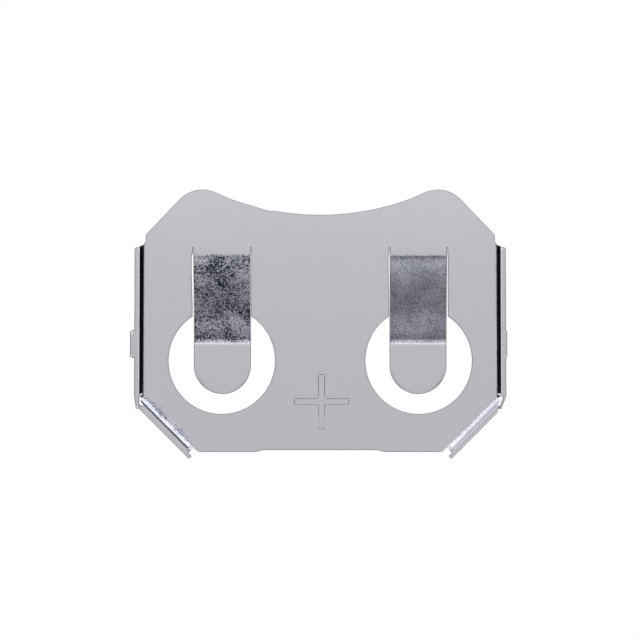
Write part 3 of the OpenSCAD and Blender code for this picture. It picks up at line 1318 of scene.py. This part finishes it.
        mesh = bpy.data.meshes.new("folded_sheet")
        mesh.from_pydata(np.vstack(places) * MM, [], faces)
        mesh.shade_smooth()
        mesh.normals_split_custom_set_from_vertices(np.vstack(normals))
        bare = np.concatenate(cuts)
        work = np.zeros(len(bare))
        work[:2 * count] = np.tile(self.worked(points), 2)
        for name, values in ((self.finish.worked_mark, work), (self.finish.cut_mark, bare)):
            mark = mesh.attributes.new(name, "FLOAT", "POINT")
            mark.data.foreach_set("value", values.astype(np.float32))
        return mesh

    def build(self) -> bpy.types.Object:
        """Makes the piece, dresses it and has it stand for its node.

        Returns:
            The new object.
        """
        piece = bpy.data.objects.new("folded_retainer", self.mesh())
        bpy.context.collection.objects.link(piece)
        piece.data.materials.append(self.finish.make())
        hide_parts("retainer")
        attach(piece, "root")
        return piece


def strip(above: Sequence[int], below: Sequence[int]) -> list[tuple[int, int, int, int]]:
    """Joins two closed rows of points by faces.

    Args:
        above: Points of the upper row.
        below: Points of the lower row.

    Returns:
        The faces, which look outwards.
    """
    count = len(above)
    return [(above[k], below[k], below[(k + 1) % count], above[(k + 1) % count]) for k in range(count)]


def outward_of(loop: np.ndarray) -> np.ndarray:
    """Finds the way out of the metal at each point of an outline.

    Args:
        loop: Points of a closed outline with the metal on its left.

    Returns:
        Outward mitre vectors.
    """
    ahead = np.roll(loop, -1, axis=0) - loop
    ahead /= np.linalg.norm(ahead, axis=1)[:, None]
    after = np.column_stack([ahead[:, 1], -ahead[:, 0]])
    before = np.roll(after, 1, axis=0)
    return (before + after) / np.maximum(1 + np.sum(before * after, axis=1), 0.5)[:, None]


def inside(points: np.ndarray, loops: list[np.ndarray]) -> np.ndarray:
    """Tells which points lie in the metal.

    Args:
        points: The points.
        loops: Outlines of the metal and its openings.

    Returns:
        True for each point that lies in the metal.
    """
    crossed = np.zeros(len(points), bool)
    x, y = points[:, 0], points[:, 1]
    for loop in loops:
        for (x0, y0), (x1, y1) in zip(loop, np.roll(loop, -1, axis=0)):
            if y0 == y1:
                continue
            spans = (y0 > y) != (y1 > y)
            crossed ^= spans & (x < (x1 - x0) * (y - y0) / (y1 - y0) + x0)
    return crossed


def triangulate(points: np.ndarray, edges: list[tuple[int, int]],
                loops: list[np.ndarray]) -> np.ndarray:
    """Fills the flat sheet with triangles.

    Args:
        points: All points.
        edges: Edges that stay.
        loops: Outlines of the metal and its openings.

    Returns:
        Triangles, anticlockwise.
    """
    result = delaunay_2d_cdt([Vector(p) for p in points], edges, [], 0, 1e-6, True)
    names = [ids[0] if ids else -1 for ids in result[3]]
    LOG.info("flat sheet: %d points, %d made where edges cross", len(points), names.count(-1))
    faces = np.array([[names[k] for k in face] for face in result[2] if len(face) == 3])
    faces = faces[(faces >= 0).all(axis=1)]
    middles = points[faces].mean(axis=1)
    faces = faces[inside(middles, loops)]
    a, b, c = (points[faces[:, k]] for k in range(3))
    turn = (b - a)[:, 0] * (c - a)[:, 1] - (b - a)[:, 1] * (c - a)[:, 0]
    faces[turn < 0] = faces[turn < 0][:, ::-1]
    return faces


@dataclass(frozen=True)
class Sector:
    """One soft-edged patch of the studio dome, placed by angles in degrees."""

    azimuth: float
    half_width: float
    from_zenith: float
    to_zenith: float
    light: float
    softness: float = 8.0


@dataclass(frozen=True)
class Card:
    """One card or bright panel that hangs beside the piece, placed in millimetres."""

    name: str
    azimuth: float
    distance: float
    from_side: float
    to_side: float
    low: float
    high: float
    colour: tuple[float, float, float]


@dataclass
class Studio:
    """Pale floor, a soft dome with its screens, and the camera."""

    view_height: float = 0.0042
    view_distance: float = 0.160
    view_tilt: float = 3.8
    view_width: float = 0.03648
    look_at: tuple[float, float] = (-0.0000114, 0.000017)
    floor_size: float = 2.0
    floor_colour: tuple[float, float, float] = (0.9, 0.9, 0.9)
    floor_white: float = 0.97
    floor_glow: float = 1.02
    dome_colour: tuple[float, float, float] = (0.985, 0.99, 1.0)
    overhead: float = 0.735
    mid: float = 0.42
    overhead_edge: tuple[float, float] = (16.0, 34.0)
    cards: tuple[Card, ...] = (
        Card("card_right", 0.0, 12.6, -5.2, 5.0, 2.5, 8.4, (0.004, 0.004, 0.008)),
        Card("card_left", 180.0, 12.6, -5.0, 5.2, 2.3, 8.4, (0.002, 0.002, 0.004)),
        Card("card_rear_left", 225.0, 12.7, -5.2, 1.5, 1.5, 3.9, (0.012, 0.006, 0.02)),
        Card("card_rear_right", 315.0, 12.7, -1.5, 5.2, 2.6, 3.4, (0.42, 0.36, 0.62)),
        Card("panel_rear_left", 225.0, 12.7, -6.5, 2.5, 3.91, 9.5, (1.5, 1.5, 1.5)),
        Card("panel_rear_right", 315.0, 12.7, -2.5, 6.5, 3.41, 9.5, (1.5, 1.5, 1.5)),
    )
    sectors: tuple[Sector, ...] = (
        Sector(90.0, 34.0, 9.0, 19.0, 1.5, 5.0),
        Sector(-90.0, 24.0, 21.0, 45.0, 0.10, 10.0),
    )

    def camera(self) -> None:
        """Puts the camera above the plate, tilted slightly towards the rear edge."""
        data = bpy.data.cameras.new("camera")
        data.sensor_width = 36.0
        data.lens = data.sensor_width * self.view_distance / self.view_width
        data.clip_start = 0.001
        data.clip_end = 10.0
        camera = bpy.data.objects.new("camera", data)
        bpy.context.collection.objects.link(camera)
        tilt = math.radians(self.view_tilt)
        target = Vector((*self.look_at, self.view_height))
        camera.location = target + self.view_distance * Vector((0.0, -math.sin(tilt), math.cos(tilt)))
        camera.rotation_euler = (tilt, 0.0, 0.0)
        bpy.context.scene.camera = camera

    def shown_white(self, board: NodeBoard) -> bpy.types.NodeSocket:
        """Tells rays that see the background apart from rays that carry its light.

        Args:
            board: The node tree to add to.

        Returns:
            1 for camera, glossy and transmission rays, else 0.
        """
        path = board.add("LightPath")
        seen = board.math("MAXIMUM", path.outputs["Is Camera Ray"], path.outputs["Is Glossy Ray"])
        return board.math("MAXIMUM", seen, path.outputs["Is Transmission Ray"])

    def floor(self) -> None:
        """Lays the pale floor, which keeps a faint shadow of the piece."""
        half = self.floor_size / 2
        mesh = bpy.data.meshes.new("floor")
        corners = [(-half, -half, 0.0), (half, -half, 0.0), (half, half, 0.0), (-half, half, 0.0)]
        mesh.from_pydata(corners, [], [(0, 1, 2, 3)])
        floor = bpy.data.objects.new("floor", mesh)
        bpy.context.collection.objects.link(floor)
        material = bpy.data.materials.new("floor_paper")
        material.use_nodes = True
        board = NodeBoard(material.node_tree)
        material.node_tree.nodes.remove(material.node_tree.nodes["Principled BSDF"])
        paper = set_input(board.add("BsdfDiffuse"), Color=(*self.floor_colour, 1.0))
        white = set_input(board.add("Emission"), Color=(1.0, 1.0, 1.0, 1.0), Strength=self.floor_glow)
        mix = board.add("MixShader")
        board.join(board.math("MULTIPLY", self.shown_white(board), self.floor_white), mix.inputs[0])
        board.join(paper.outputs[0], mix.inputs[1])
        board.join(white.outputs[0], mix.inputs[2])
        board.join(mix.outputs[0], material.node_tree.nodes["Material Output"].inputs["Surface"])
        mesh.materials.append(material)
        floor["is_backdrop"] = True

    def dome(self) -> None:
        """Lights the piece from a soft dome that is bright overhead and has screens round it."""
        world = bpy.data.worlds.new("dome")
        bpy.context.scene.world = world
        world.use_nodes = True
        board = NodeBoard(world.node_tree)
        ray = board.add("SeparateXYZ")
        board.join(board.add("TexCoord").outputs["Generated"], ray.inputs[0])
        x, y, z = ray.outputs
        zenith = board.math("DEGREES", board.math("ARCCOSINE", z))
        azimuth = board.math("DEGREES", board.math("ARCTAN2", y, x))
        light = board.ease(zenith, *self.overhead_edge, self.overhead, self.mid)
        for sector in self.sectors:
            light = self.screen(board, sector, light, zenith, azimuth)
        background = world.node_tree.nodes["Background"]
        background.inputs["Color"].default_value = (*self.dome_colour, 1.0)
        board.join(light, background.inputs["Strength"])

    def screen(self, board: NodeBoard, sector: Sector, light: bpy.types.NodeSocket,
               zenith: bpy.types.NodeSocket, azimuth: bpy.types.NodeSocket) -> bpy.types.NodeSocket:
        """Lays one screen over the dome.

        Args:
            board: The dome's node tree.
            sector: Place and light of the screen.
            light: The dome's light so far.
            zenith: Angle of a ray from straight up, in degrees.
            azimuth: Angle of a ray round the vertical, in degrees.

        Returns:
            The dome's light with the screen.
        """
        turned = board.math("SUBTRACT", azimuth, sector.azimuth)
        off = board.math("ABSOLUTE", board.math("WRAP", turned, 180.0, -180.0))
        soft = sector.softness / 2
        across = board.ease(off, sector.half_width - soft, sector.half_width + soft, 1.0, 0.0)
        down = board.ease(zenith, sector.from_zenith - soft, sector.from_zenith + soft)
        below = board.ease(zenith, sector.to_zenith - soft, sector.to_zenith + soft, 1.0, 0.0)
        share = board.math("MULTIPLY", board.math("MULTIPLY", across, down), below)
        return board.math(
            "ADD",
            board.math("MULTIPLY", light, board.math("SUBTRACT", 1.0, share)),
            board.math("MULTIPLY", share, sector.light),
        )

    def hang(self, card: Card) -> None:
        """Hangs a card beside the piece that only its reflections show.

        Args:
            card: The card's place and colour.
        """
        turn = math.radians(card.azimuth)
        out = Vector((math.cos(turn), math.sin(turn), 0.0))
        side = Vector((-math.sin(turn), math.cos(turn), 0.0))
        foot = out * card.distance
        corners = [foot + side * reach + Vector((0.0, 0.0, height))
                   for reach, height in ((card.from_side, card.low), (card.to_side, card.low),
                                         (card.to_side, card.high), (card.from_side, card.high))]
        mesh = bpy.data.meshes.new(card.name)
        mesh.from_pydata([corner * MM for corner in corners], [], [(0, 1, 2, 3)])
        panel = bpy.data.objects.new(card.name, mesh)
        bpy.context.collection.objects.link(panel)
        material = bpy.data.materials.new(card.name)
        material.use_nodes = True
        board = NodeBoard(material.node_tree)
        material.node_tree.nodes.remove(material.node_tree.nodes["Principled BSDF"])
        face = set_input(board.add("Emission"), Color=(*card.colour, 1.0), Strength=1.0)
        board.join(face.outputs[0], material.node_tree.nodes["Material Output"].inputs["Surface"])
        mesh.materials.append(material)
        panel.visible_camera = False
        panel.visible_diffuse = False
        panel.visible_shadow = False
        panel.visible_transmission = False
        panel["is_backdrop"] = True

    def build(self) -> None:
        """Sets up floor, dome, cards, camera and the view transform."""
        self.floor()
        for card in self.cards:
            self.hang(card)
        self.dome()
        self.camera()
        bpy.context.scene.view_settings.view_transform = "Standard"


def plain_numbers(box: object) -> list:
    """Turns a box into plain lists of numbers.

    Args:
        box: Nested sequences of numbers.

    Returns:
        The same numbers as lists.
    """
    return [plain_numbers(part) if hasattr(part, "__len__") else float(part) for part in box]


def main() -> None:
    """Builds the piece and its studio."""
    low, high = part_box("retainer")
    piece = Retainer(top=high[2] / MM, half_length=high[1] / MM).build()
    LOG.info("built %s with %d faces", piece.name, len(piece.data.polygons))
    Studio().build()
    LOG.info("studio built")
    {"cad": plain_numbers(CAD_BOX), "visual": plain_numbers(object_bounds())}


if __name__ == "__main__":
    logging.basicConfig(level=logging.INFO, format="%(message)s")
    main()
